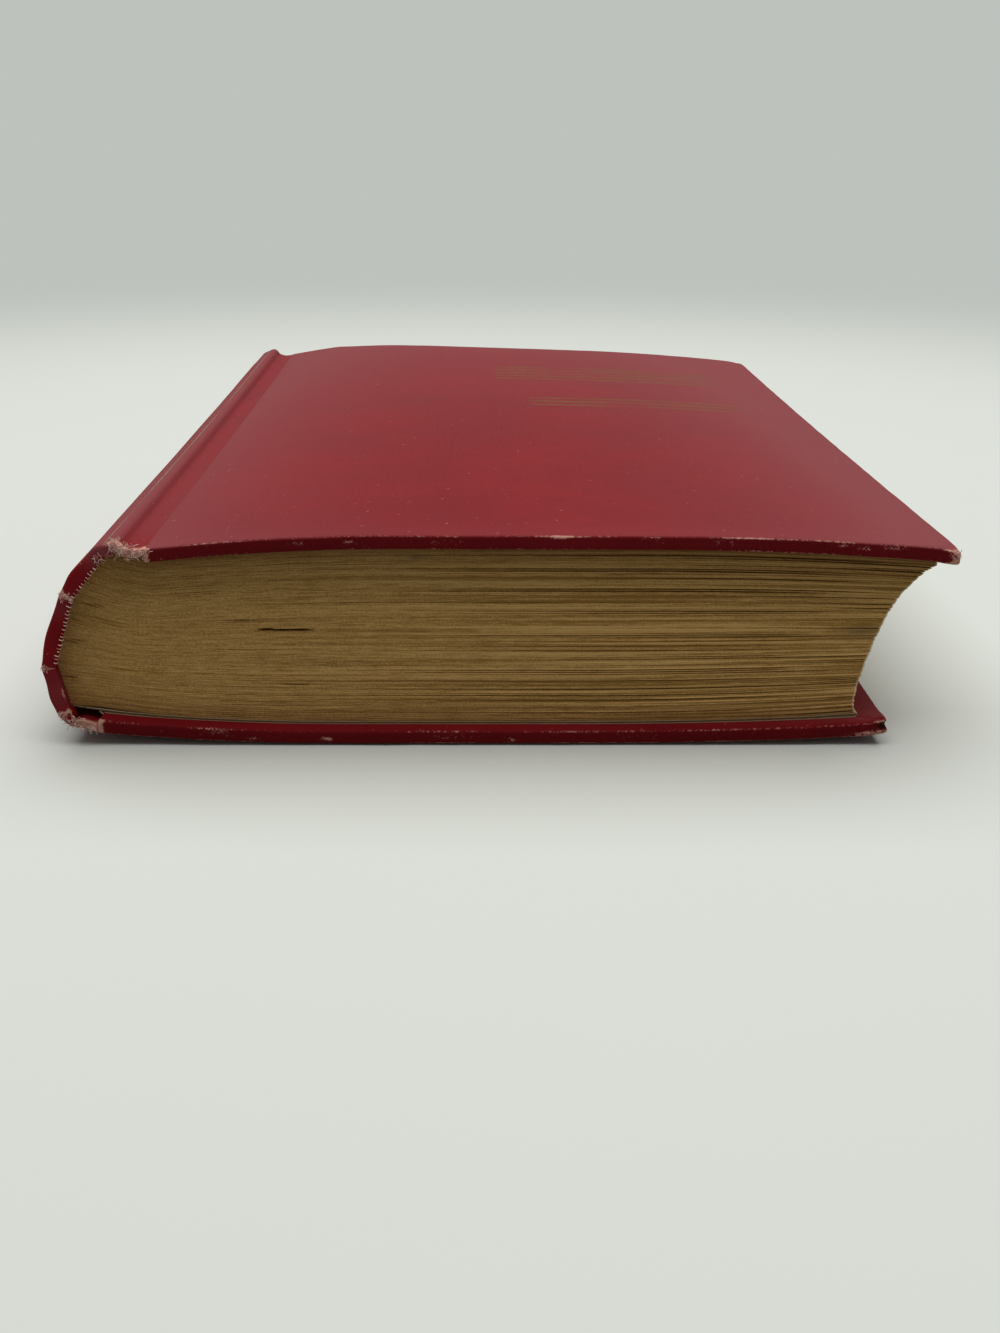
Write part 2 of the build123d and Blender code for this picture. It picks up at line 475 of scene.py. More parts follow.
# Parts of the tone of the leaves' edges
fine_tone = 0.9
grain_tone = 0.8
group_tone = 0.2
dust_tone = 0.2
tone_middle = 1.05
# Parts of the bumps
weave_bump = 0.5
slub_bump = 0.7
fibre_bump = 0.25
rubbed_bump = 1.6
fine_bump = 0.6
grain_bump = 0.5
# Roughness and sheen of the finishes
cloth_roughness = 0.6
patch_roughness = 0.12
rubbed_roughness = 0.25
page_roughness = 0.85
paper_roughness = 0.8
card_roughness = 0.85
thread_roughness = 0.85
table_roughness = 0.9
roughness_change = 0.1
cloth_sheen = 0.05
page_sheen = 0.1
paper_sheen = 0.15
thread_sheen = 0.1
table_sheen = 0.1
# Distances in metres between which the table fades
table_fade_start = 0.32
table_fade_end = 0.75
# Pitch of the weave and depths of the bumps
weave_pitch = 0.62
cloth_relief = 0.05
page_relief = 0.06
paper_relief = 0.03
card_relief = 0.06
thread_relief = 0.02
table_relief = 0.01

# Fineness of the meshes
touch = 0.01
weld_distance = 0.001
line_step = 0.1
straight_share = 0.9
smooth_angle = math.radians(40)
line_segments = 6
strip_segments = 4
corner_segments = 5
edge_segments = 3
leaf_layers = 16
leaf_columns = 96
leaf_spans = 48
cover_first_cut = 1.5
cover_columns = 92
cover_rows = 84
cover_layers = 5
spine_first_cut = 0.35
spine_columns = 110
strip_margin = 0.05
strip_columns = 28
strip_first_row = 3.0
strip_rows = 66
copy_rows = 26


def cup(x, depth):
    """Height of the layer that lies a depth inside a cover's outer face, at x from its spine edge."""
    before = np.clip(spine_margin - x, 0, None)
    after = np.clip(x - flat_end, 0, None)
    spine_radius = spine_side_radius - depth
    fore_radius = fore_side_radius - depth
    spine_rise = spine_radius - np.sqrt(spine_radius**2 - before**2)
    fore_rise = fore_radius - np.sqrt(fore_radius**2 - after**2)
    return depth + spine_rise + fore_rise


def ripple(x, y, seed):
    """Smooth noise from about -1 to 1 at each pair of values."""
    x, y = np.broadcast_arrays(x, y)
    return np.array([noise.noise((a, b, seed)) for a, b in zip(x.ravel(), y.ravel())]).reshape(x.shape)


def bump_at(x, middle, half_width):
    """1 at the middle, falling to nothing about two half widths away."""
    return np.exp(-(((x - middle) / half_width) ** 2))


def fading(distance, reach):
    """1 at no distance, falling to about a third at the reach."""
    return np.exp(-distance / reach)


def rounded_line(corners, rounds, steps=line_segments):
    """Points of a line whose inner corners are rounded."""
    corners = [Vector(corner) for corner in corners]
    points = [corners[0]]
    for before, corner, after, radius in zip(corners, corners[1:], corners[2:], rounds):
        way_in = (before - corner).normalized()
        way_out = (after - corner).normalized()
        half = way_in.angle(way_out) / 2
        middle = corner + (way_in + way_out).normalized() * radius / math.sin(half)
        start = corner + way_in * radius / math.tan(half) - middle
        end = corner + way_out * radius / math.tan(half) - middle
        turn = start.angle_signed(end)
        points += [middle + Matrix.Rotation(-turn * i / steps, 2) @ start for i in range(steps + 1)]
    return points + corners[-1:]


def moved_corners(corners, distance):
    """Corners of a line moved to its left."""
    corners = [Vector(corner) for corner in corners]
    ways = [(b - a).normalized() for a, b in zip(corners, corners[1:])]
    squares = [Vector((-way.y, way.x)) for way in ways]
    moved = [corners[0] + squares[0] * distance]
    for corner, a, b in zip(corners[1:], squares, squares[1:]):
        moved.append(corner + (a + b) * distance / (1 + a.dot(b)))
    return moved + [corners[-1] + squares[-1] * distance]


class SectionLine:
    """A line in a section of the book, read by the length along it."""

    def __init__(self, points):
        self.points = np.array([tuple(p) for p in points])
        steps = np.hypot(*np.diff(self.points, axis=0).T)
        self.lengths = np.concatenate([[0], np.cumsum(steps)])
        self.total = self.lengths[-1]

    def at(self, length):
        return [np.interp(length, self.lengths, self.points[:, i]) for i in (0, 1)]

    def left(self, length):
        """Direction square to the line, to its left."""
        behind = self.at(length - line_step)
        ahead = self.at(length + line_step)
        dx, dz = ahead[0] - behind[0], ahead[1] - behind[1]
        size = np.hypot(dx, dz)
        return -dz / size, dx / size

    def beside(self, length, distance):
        """Place at a distance to the left of the line."""
        x, z = self.at(length)
        left_x, left_z = self.left(length)
        return x + left_x * distance, z + left_z * distance

    def nearest(self, point):
        """Length along the line at the point nearest to a place."""
        return self.lengths[np.argmin(np.hypot(*(self.points - np.array(point)).T))]


@contextmanager
def editing(piece):
    """Edit mode on one piece."""
    bpy.context.view_layer.objects.active = piece
    bpy.ops.object.mode_set(mode="EDIT")
    yield
    bpy.ops.object.mode_set(mode="OBJECT")


def select_only(piece):
    bpy.ops.object.select_all(action="DESELECT")
    piece.select_set(True)
    bpy.context.view_layer.objects.active = piece


def pick(kind, test):
    """Selects the points, edges or faces, in edit mode, that pass a test of their points in mm."""
    bpy.ops.mesh.select_mode(type=kind)
    bpy.ops.mesh.select_all(action="DESELECT")
    data = bpy.context.object.data
    mesh = bmesh.from_edit_mesh(data)
    parts = {"VERT": mesh.verts, "EDGE": mesh.edges, "FACE": mesh.faces}[kind]
    for part in parts:
        corners = [part.co / mm] if kind == "VERT" else [v.co / mm for v in part.verts]
        if test(*corners):
            part.select_set(True)
    mesh.select_flush_mode()
    bmesh.update_edit_mesh(data)


def along(axis):
    """Test for the edges that run along an axis."""
    return lambda a, b: abs((b - a)[axis]) > straight_share * (b - a).length


def add_block(name, low, high):
    """Cube from its lowest to its highest corner."""
    bpy.ops.object.select_all(action="DESELECT")
    centre = [(a + b) / 2 * mm for a, b in zip(low, high)]
    size = [(b - a) * mm for a, b in zip(low, high)]
    bpy.ops.mesh.primitive_cube_add(size=1, location=centre, scale=size)
    piece = bpy.context.object
    piece.name = piece.data.name = name
    bpy.ops.object.transform_apply(location=True, rotation=True, scale=True)
    return piece


def slice_up(axis, places):
    """Cuts the piece in edit mode across an axis at each place."""
    square = Vector((0, 0, 0))
    square[axis] = 1
    for place in places:
        bpy.ops.mesh.select_all(action="SELECT")
        bpy.ops.mesh.bisect(plane_co=square * place * mm, plane_no=square)


def slice_rows(end):
    """Cuts a strip in edit mode into rows between its two ends."""
    slice_up(1, np.linspace(strip_first_row - end, end - strip_first_row, strip_rows))


def unwrap_flat():
    """Lays the cloth or paper out as it was before it was bent, in metres."""
    bpy.ops.mesh.select_all(action="SELECT")
    bpy.ops.uv.cube_project(cube_size=1)


def points_of(piece):
    """Arrays of the places of a piece's points, in mm."""
    places = np.zeros(len(piece.data.vertices) * 3)
    piece.data.vertices.foreach_get("co", places)
    return (places / mm).reshape(-1, 3).T


def lean(x, y, z):
    """Lift of a point of the twisted book."""
    up = np.clip((z - twist_start) / (book_thickness - twist_start), 0, None)
    along_book = (y + cover_end) / (2 * cover_end)
    places = [-joint_width, 0, board_lift_place, cover_width]
    lift = along_book * np.interp(x - front_edge, places, [ridge_lift, joint_lift, board_lift, -fore_drop])
    sag = middle_sag * np.sin(math.pi * np.clip(along_book, 0, 1))
    low = np.clip((settle_top - z) / settle_fade, 0, 1)
    from_edge = x - back_edge
    beyond_flat = np.clip((from_edge - flat_end) / (cover_width - flat_end), 0, 1)
    before_flat = np.clip(1 - from_edge / spine_margin, 0, 1) * np.clip(1 + from_edge / joint_width, 0, 1)
    settle = corner_settle * beyond_flat**2 + spine_settle * before_flat**2
    return up * (lift - sag) - low * settle * np.clip(1 - along_book, 0, 1)


def bend(piece, x, y, z, turned=False):
    """Puts the points of a flat piece at their places in the twisted book."""
    places = np.column_stack([x, y, z + lean(x, y, z)])
    piece.data.vertices.foreach_set("co", (places * mm).ravel())
    if turned:
        piece.data.flip_normals()
    piece.data.update()
    select_only(piece)
    bpy.ops.object.shade_smooth_by_angle(angle=smooth_angle)


def mark(piece, name, amounts):
    """Keeps an amount at each point of a piece for its finish to read."""
    piece.data.attributes.new(name, "FLOAT", "POINT")
    piece.data.attributes[name].data.foreach_set("value", np.clip(amounts, 0, 1).astype(np.float32))


class Socket:
    """An output in a finish: sums and products of it add Math nodes."""

    def __init__(self, finish, link):
        self.finish = finish
        self.link = link

    def math(self, operation, *values):
        return self.finish.node("ShaderNodeMath", {"operation": operation}, dict(enumerate(values)))

    def __add__(self, other):
        return self.math("ADD", self, other)

    def __radd__(self, other):
        return self.math("ADD", other, self)

    def __sub__(self, other):
        return self.math("SUBTRACT", self, other)

    def __rsub__(self, other):
        return self.math("SUBTRACT", other, self)

    def __mul__(self, other):
        return self.math("MULTIPLY", self, other)

    def __rmul__(self, other):
        return self.math("MULTIPLY", other, self)

    def __abs__(self):
        return self.math("ABSOLUTE", self)

    def sine(self):
        return self.math("SINE", self)


class Finish:
    """A material, or the world, and the nodes in it."""

    def __init__(self, owner):
        self.owner = owner
        owner.use_nodes = True
        self.tree = owner.node_tree
        self.tree.nodes.clear()

    def node(self, kind, settings=None, sockets=None, output=0):
        """Adds a node of a type: its settings first, then the values or links of its sockets."""
        made = self.tree.nodes.new(kind)
        for name, value in (settings or {}).items():
            setattr(made, name, value)
        for key, value in (sockets or {}).items():
            if isinstance(value, Socket):
                self.tree.links.new(value.link, made.inputs[key])
            else:
                made.inputs[key].default_value = value
        return Socket(self, made.outputs[output]) if made.outputs else None

    def coordinates(self, name):
        return self.node("ShaderNodeTexCoord", output=name)

    def scaled(self, vector, scale):
        return self.node("ShaderNodeVectorMath", {"operation": "MULTIPLY"}, {0: vector, 1: scale})

    def far_from(self, vector, point):
        return self.node("ShaderNodeVectorMath", {"operation": "DISTANCE"}, {0: vector, 1: point}, output=1)

    def parts(self, vector):
        return [self.node("ShaderNodeSeparateXYZ", sockets={0: vector}, output=i) for i in range(3)]

    def noise(self, vector, scale, detail=3.0, roughness=0.5):
        """Noise from 0 to 1, with its scale in patches for each metre."""
        vector = self.scaled(vector, scale if isinstance(scale, tuple) else (scale,) * 3)
        sockets = {"Vector": vector, "Scale": 1.0, "Detail": detail, "Roughness": roughness}
        return self.node("ShaderNodeTexNoise", sockets=sockets)

    def step(self, value, low, high):
        """0 below low, 1 above high and smooth between."""
        settings = {"interpolation_type": "SMOOTHSTEP"}
        return self.node("ShaderNodeMapRange", settings, {0: value, 1: low, 2: high, 3: 0.0, 4: 1.0})

    def attribute(self, name):
        return self.node("ShaderNodeAttribute", {"attribute_name": name}, output="Fac")

    def mix(self, share, a, b):
        """Colour between two colours."""
        settings = {"data_type": "RGBA"}
        a, b = (c if isinstance(c, Socket) else (*c, 1.0) for c in (a, b))
        return self.node("ShaderNodeMix", settings, {0: share, 6: a, 7: b}, output=2)

    def seen(self):
        """1 where it is seen straight, in a reflection or through something clear, else 0."""
        kinds = ("Camera", "Glossy", "Transmission")
        rays = [self.node("ShaderNodeLightPath", output=f"Is {kind} Ray") for kind in kinds]
        return rays[0] + rays[1] + rays[2]

    def surface(self, colour, roughness, height, depth, **others):
        """Principled surface with a bump of a depth in mm, and other sockets by name."""
        relief = {"Strength": 1.0, "Distance": depth * mm, "Height": height}
        normal = self.node("ShaderNodeBump", sockets=relief)
        sockets = {"Base Color": colour, "Roughness": roughness, "Normal": normal}
        sockets.update({name.replace("_", " "): value for name, value in others.items()})
        shader = self.node("ShaderNodeBsdfPrincipled", sockets=sockets)
        self.node("ShaderNodeOutputMaterial", sockets={"Surface": shader})
        return self.owner


def new_finish(name):
    return Finish(bpy.data.materials.new(name))


def weave_height(finish, uv, pitch):
    """Height of a plain weave, from -1 to 1."""
    across, along_cloth, _ = finish.parts(finish.scaled(uv, (2 * math.pi / (pitch * mm),) * 3))
    return across.sine() * along_cloth.sine()


def worn_gilt(finish, place):
    """What is left of two blocks of plain gilt rules on the upper half of the front cover."""
    x, y, z = finish.parts(place)
    worn = finish.noise(place, scale=(70, 210, 1), detail=3, roughness=0.6)
    worn = finish.step(worn, low=0.36, high=0.6)
    flakes = finish.noise(place, scale=900, detail=3, roughness=0.7)
    flakes = finish.step(flakes, low=0.3, high=0.6)
    rules = 0.0
    for start, end, level, half_height in gilt_blocks:
        from_middle = abs(x - (start + end) / 2 * mm)
        from_level = y - level * mm
        within = finish.step((end - start) / 2 * mm - from_middle, low=0.0, high=gilt_edge * mm)
        within = within * finish.step(half_height * mm - abs(from_level), low=0.0, high=gilt_edge * mm)
        waves = (from_level * (2 * math.pi / (gilt_pitch * mm)) + math.pi / 2).sine()
        rules = rules + within * finish.step(waves, low=-gilt_softness, high=gilt_softness)
    start_level = (book_thickness - gilt_start_depth) * mm
    full_level = (book_thickness - gilt_full_depth) * mm
    outside = finish.step(z, low=start_level, high=full_level)
    return rules * (gilt_least + worn * (1 - gilt_least)) * flakes * outside


def book_cloth(name, gilt=False):
    """Red book cloth with fading in patches, rubbed to pale threads where it is worn, with a painted sheen,
    painted highlights on its raised threads, painted shade in its open fold and darker rims.
    """
    finish = new_finish(name)
    uv = finish.coordinates("UV")
    place = finish.coordinates("Object")
    wear = finish.attribute("wear")
    dark = finish.attribute("dark")
    painted_sheen = finish.attribute("painted_sheen")

    weave = weave_height(finish, uv, weave_pitch)
    slubs = finish.noise(uv, scale=(180, 2600, 1), detail=2)
    slubs = slubs + finish.noise(uv, scale=(2600, 180, 1), detail=2) - 1.0
    patches = finish.noise(place, scale=34, detail=4, roughness=0.6)
    grime = finish.noise(place, scale=150, detail=5, roughness=0.65)
    grime = finish.step(grime, low=0.52, high=0.72)
    fibres = finish.noise(place, scale=3200, detail=2, roughness=0.6)
    broken = finish.noise(place, scale=1500, detail=5, roughness=0.72) + weave * weave_in_wear
    rubbed = finish.step(wear * wear_weight + broken, low=0.86, high=1.0)
    bare = wear + finish.noise(place, scale=900, detail=3, roughness=0.6)
    bare = finish.step(bare, low=1.42, high=1.55)
    specks = finish.noise(place, scale=1000, detail=2, roughness=0.5)
    specks = finish.step(specks, low=0.725, high=0.76)
    pinholes = finish.noise(place, scale=2400, detail=2, roughness=0.5) + wear * pinholes_by_wear
    pinholes = finish.step(pinholes, low=0.74, high=0.79)
    # Painted highlights on raised threads, stronger with the painted sheen
    lit_threads = finish.step(slubs + weave * weave_in_light, low=-0.4, high=0.6)
    lit_threads = lit_threads * (lit_least + painted_sheen * lit_by_sheen)

    colour = finish.mix(finish.step(patches, low=0.25, high=0.75), deep_red, bright_red)
    colour = finish.mix(grime * grime_share, colour, grimy_red)
    colour = finish.mix(lit_threads, colour, lit_red)
    # Painted sheen: a greyer red
    colour = finish.mix(painted_sheen * sheen_share, colour, sheen_red)
    colour = finish.mix(specks * speck_share + pinholes * pinhole_share, colour, speck_pink)
    if gilt:
        colour = finish.mix(worn_gilt(finish, place) * gilt_share, colour, gilt_brown)
    # Painted shade in the open fold, and darker cloth along the rims below the top face
    colour = finish.mix(dark, colour, shade_and_rim_dark)
    threads = finish.mix(fibres, rubbed_pink, rubbed_pale)
    threads = finish.mix(finish.step(wear, low=0.35, high=0.75), rubbed_red, threads)
    colour = finish.mix(rubbed * rubbed_share, colour, threads)
    colour = finish.mix(bare * bare_share, colour, bare_brown)
    roughness = cloth_roughness + patches * patch_roughness + rubbed * rubbed_roughness
    height = weave * weave_bump + slubs * slub_bump + fibres * (fibre_bump + rubbed * rubbed_bump)
    return finish.surface(colour, roughness, height, cloth_relief, Specular_IOR_Level=cloth_sheen)


def page_edges(name):
    """Trimmed edges of old leaves: browned, dusty and streaked along the leaves, with painted shade in their
    gaps and slits and at the top and lowest leaves, and a painted highlight on the fore-edge.
    """
    finish = new_finish(name)
    uv = finish.coordinates("UV")
    place = finish.coordinates("Object")
    painted_shade = finish.attribute("painted_shade")
    soil_and_shade = finish.attribute("soil_and_shade")
    loose = finish.attribute("loose")
    pale = finish.attribute("pale")
    fine = finish.noise(uv, scale=(220, 3800, 1), detail=3, roughness=0.65)
    lines = finish.noise(uv, scale=(9, 1700, 1), detail=3, roughness=0.7)
    groups = finish.noise(uv, scale=(9, 230, 1), detail=3, roughness=0.55)
    grain = finish.noise(place, scale=2600, detail=3, roughness=0.7)
    dust = finish.noise(place, scale=45, detail=4, roughness=0.6)
    tone = fine * fine_tone + grain * grain_tone + groups * group_tone + dust * dust_tone - tone_middle
    tone = tone + (lines - 0.5) * (line_least + loose * line_by_loose)
    colour = finish.mix(finish.step(tone, low=-0.3, high=0.3), page_brown, page_cream)
    # Painted shade in the gaps and slits, under the front cover and above the endpaper
    colour = finish.mix(painted_shade * shade_tint, colour, page_shade)
    # Painted highlight along the fore-edge
    colour = finish.mix(pale * highlight_tint, colour, page_highlight)
    # Real stains, and soil with painted shade along the top and lowest leaves
    colour = finish.mix(soil_and_shade * soil_and_shade_tint, colour, page_soil_and_shade)
    roughness = page_roughness + grain * roughness_change
    height = fine * fine_bump + grain * grain_bump
    return finish.surface(colour, roughness, height, page_relief, Specular_IOR_Level=page_sheen)


def endpaper(name, end_tint):
    """Plain paper that has yellowed, more so in blotches, with its cut ends darkened by a share: on the free
    endpaper this is painted shade of the gap between it and the leaves.
    """
    finish = new_finish(name)
    place = finish.coordinates("Object")
    blotches = finish.noise(place, scale=38, detail=4, roughness=0.6)
    spots = finish.noise(place, scale=210, detail=3, roughness=0.6)
    spots = finish.step(spots, low=0.64, high=0.76)
    fibres = finish.noise(place, scale=(900, 2400, 900), detail=3, roughness=0.6)
    end_start = (leaf_end - cut_end_start) * mm
    end_full = (leaf_end - cut_end_full) * mm
    cut_end = finish.step(abs(finish.parts(place)[1]), low=end_start, high=end_full)
    colour = finish.mix(finish.step(blotches, low=0.3, high=0.75), paper_dark, paper_light)
    colour = finish.mix(fibres * fibre_tint, colour, paper_fibre)
    colour = finish.mix(spots * spot_tint, colour, paper_spot)
    # Darker cut ends; on the free endpaper this is painted shade
    colour = finish.mix(cut_end * end_tint, colour, cut_end_dark)
    roughness = paper_roughness + blotches * roughness_change
    return finish.surface(colour, roughness, fibres, paper_relief, Specular_IOR_Level=paper_sheen)


def card(name, dark, light):
    """Pressed card or board with short fibres in it."""
    finish = new_finish(name)
    place = finish.coordinates("Object")
    fibres = finish.noise(place, scale=(1400, 600, 1400), detail=4, roughness=0.65)
    colour = finish.mix(finish.step(fibres, low=0.3, high=0.7), dark, light)
    return finish.surface(colour, card_roughness + fibres * roughness_change, fibres, card_relief)


def loose_thread(name):
    """Pale threads with red dye left in places."""
    finish = new_finish(name)
    place = finish.coordinates("Object")
    bleached = finish.noise(place, scale=900, detail=3, roughness=0.6)
    bleached = finish.step(bleached, low=0.36, high=0.56)
    fluff = finish.noise(place, scale=5200, detail=2)
    colour = finish.mix(bleached, thread_red, thread_pale)
    roughness = thread_roughness + fluff * roughness_change
    return finish.surface(colour, roughness, fluff, thread_relief, Specular_IOR_Level=thread_sheen)


def table_top(name):
    """Pale matt table that fades into the backdrop."""
    finish = new_finish(name)
    place = finish.coordinates("Object")
    clouds = finish.noise(place, scale=5, detail=3)
    pale = finish.mix(clouds, table_dull, table_bright)
    colour = finish.mix(finish.seen(), table_unseen, pale)
    far = finish.far_from(place, (0.0, 0.0, 0.0))
    fade = 1.0 - finish.step(far, low=table_fade_start, high=table_fade_end)
    others = {"Alpha": fade, "Specular_IOR_Level": table_sheen}
    return finish.surface(colour, table_roughness, clouds, table_relief, **others)


red_cloth = book_cloth("red_cloth")
stamped_cloth = book_cloth("stamped_cloth", gilt=True)
leaf_finish = page_edges("page_edges")
paper_finish = endpaper("endpaper", pasted_end_tint)
# Its darker cut end is painted shade of the gap between it and the leaves
free_paper_finish = endpaper("free_endpaper", free_end_shade)
board_finish = card("binders_board", board_dark, board_light)
lining_finish = card("lining_paper", lining_dark, lining_light)
thread_finish = loose_thread("loose_threads")


def dress(piece, finish, body):
    """Gives a piece its finish and the body that it moves with."""
    piece.data.materials.clear()
    piece.data.materials.append(finish)
    if body:
        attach(piece, body)


def cross_joint(piece):
    """Bakes the place of a piece that lies between the leaves and a cover into its points."""
    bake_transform(piece)


spine_corners = [front_slope, front_ridge, front_roll, front_crease]
spine_corners += [middle_crease, back_crease, back_ridge, back_slope]
spine_rounds = [ridge_round, roll_round, crease_round, crease_round, crease_round, back_ridge_round]
spine_line = SectionLine(rounded_line(spine_corners, spine_rounds))
corner_places = [spine_line.nearest(corner) for corner in spine_corners[1:-1]]
ridge_place, roll_place, *crease_places, back_ridge_place = corner_places

# Frayed ends of the spine at the tail: place along its line, half width, strength
end_frays = [(ridge_place - 0.6, 2.0, 1.1), (back_ridge_place + 0.4, 2.2, 0.7)]
# A worn spot of its turned-in cloth in the third panel
panel_spot_place = crease_places[1] + 5.2
panel_spot_width = 1.1
panel_spot_reach = 1.0
panel_spot_depth = 0.5
panel_spot = 0.6
# Bands of painted sheen on the spine: place along its line, half width, strength
haze_bands = [(roll_place - 0.5, 3.0, 1.0), (crease_places[0] + 2.0, 2.2, 0.3)]
haze_bands += [(crease_places[1] + 5.0, 4.0, 0.4)]


def stack_level(x, share):
    """Height of a leaf in the book: 0 is the lowest leaf and 1 the highest."""
    lowest = cup(np.maximum(x - back_edge, 0), block_depth)
    highest = book_thickness - cup(np.maximum(x - front_edge, 0), block_depth)
    return (1 - share) * lowest + share * highest


def backbone():
    """Line of the rounded back of the leaves, from the lowest leaf to the highest, just inside the spine."""
    ridge, roll, *creases, _ = moved_corners(spine_corners[1:-1], spine_wall + back_gap)
    shoulder = roll.lerp(ridge, shoulder_share)
    return SectionLine(rounded_line([*creases[::-1], roll, shoulder], [back_round] * 3))


def fore_edge(share):
    """Place of the cut fore-edge by the share of the stack."""
    place = fore_low + fore_lean * share**fore_lean_power + fore_curl * share**fore_curl_power
    place += fore_lip * fading(share, fore_lip_share)
    return back_edge + np.minimum(place, fore_limit)


def make_leaf_block():
    """All the leaves: a cut stack, bent to the cupped covers, the rounded back and the hollow fore-edge."""
    piece = add_block("leaf_block", (0, -leaf_end, 0), (stack_width, leaf_end, stack_height))
    rows = leaf_rows * leaf_count
    with editing(piece):
        for axis, parts in ((2, leaf_layers), (2, rows // leaf_layers), (0, leaf_columns), (1, leaf_spans)):
            pick("EDGE", along(axis))
            bpy.ops.mesh.subdivide(number_cuts=parts - 1)
        slice_up(0, [stack_width - fore_rim, stack_width - fore_rim / 2])
        unwrap_flat()

    x, y, z = points_of(piece)
    share = z / stack_height
    row = np.rint(share * rows)
    gap = row % leaf_rows == 0
    leaf = np.floor(row / leaf_rows)

    back = backbone()
    left_x, left_z = back.at(share * back.total)
    place_x = left_x + x / stack_width * (fore_edge(share) - left_x)
    reach = shoulder_reach + flare_reach * (1 - share)
    flare = np.clip(1 - (place_x - left_x) / reach, 0, 1) ** 2
    place_z = stack_level(place_x, share) + (left_z - stack_level(left_x, share)) * flare

    at_end = np.abs(y) > leaf_end - touch
    at_fore = x > stack_width - touch
    way = np.where(at_end, x, y + fore_shift)
    loose = np.where(at_end, np.clip((x - loose_start) / loose_length, 0, 1), loose_fore)
    crest = crest_depth + crest_ripple * ripple(way / crest_length, leaf * crest_change, seed=1.0)
    crest += wander_depth * loose * ripple(way / wander_length, leaf * wander_change, seed=2.0)
    sheaves = leaf * sheaf_turn + ripple(way / sheaf_length, leaf * sheaf_change, seed=3.0)
    crest += sheaf_depth * np.sin(sheaves)
    open_length = opening_length + opening_length_loose * loose
    opened = ripple(way / open_length, leaf * opening_change, seed=5.0)
    opened = np.clip(opened + opening_gain * loose - opening_loss, 0, None)
    groove = groove_depth + opened * (opened_depth + opened_depth_loose * loose)
    slit = np.zeros_like(x)
    for middle, level, half_length, depth, half_height in slits:
        taper = np.clip(1 - ((place_x - middle) / half_length) ** 2, 0, 1)
        line = level + slit_waver * ripple(place_x / slit_waver_length, 0 * x, seed=middle)
        slit += np.where((y < 0) & at_end, depth * taper * (np.abs(place_z - line) < half_height), 0)
    inset = np.clip(crest + np.where(gap, groove, 0), least_inset, most_inset)
    place_y = np.where(at_end, np.sign(y) * (leaf_end - inset - slit), y)
    place_x = np.where(x > stack_width - fore_rim - touch, place_x - inset, place_x)
    bend(piece, place_x, place_y, place_z)

    # Painted shade: darker leaves at the top under the front cover and at the bottom above the endpaper, in
    # open gaps and in slits
    shaded = np.exp((share - 1) * top_shade_rate) + low_shade * np.exp(-share * low_shade_rate)
    open_shade = np.where(gap, opened * (gap_shade_share + gap_shade_share_loose * loose), 0)
    mark(piece, "painted_shade", open_shade + np.minimum(slit, 1) + shaded)
    mark(piece, "loose", loose)
    # Painted highlight: a pale line at the fore-edge rim of the tail and paler fore-edge faces
    rim_share = np.clip((x - stack_width) / fore_rim + 1, 0, 1)
    mark(piece, "pale", np.where(at_end, np.minimum(2 * rim_share, 1), np.where(at_fore, fore_highlight, 0)))
    stain = np.zeros_like(x)
    for middle, half_width, level, half_height, strength in stains:
        stain += strength * bump_at(place_x, middle, half_width) * bump_at(place_z, level, half_height)
    # Soil and painted shade along the top and lowest leaves, added to the real stains
    rows_soil_shade = end_rows_soil_and_shade * (np.exp(-share * low_soil_shade_rate) + np.exp((share - 1) * top_soil_shade_rate))
    mark(piece, "soil_and_shade", np.where(y < 0, stain, 0) + rows_soil_shade)
    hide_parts("text_block")
    dress(piece, leaf_finish, "text_block")


def sink_mitre(side):
    """Sinks the line of a mitred corner in the turned-in cloth of the cover in edit mode."""
    corner = Vector((cover_width, side * cover_end, 0))
    square = Vector((1, -side, 0)).normalized()

    def near_mitre(*corners):
        beyond = [p.x > turn_in_x - mitre_margin and side * p.y > turn_in_y - mitre_margin for p in corners]
        return all(beyond) and min(p.z for p in corners) > inner_face - touch

    def on_mitre(p):
        beyond = p.x > turn_in_x + mitre_width and side * p.y > turn_in_y + mitre_width
        return beyond and abs((p - corner).dot(square)) < mitre_width / 10 and p.z > inner_face

    for shift in (-mitre_width, 0, mitre_width):
        pick("FACE", near_mitre)
        bpy.ops.mesh.bisect(plane_co=(corner + square * shift) * mm, plane_no=square)
    pick("VERT", on_mitre)
    bpy.ops.transform.translate(value=(0, 0, -mitre_depth * mm))


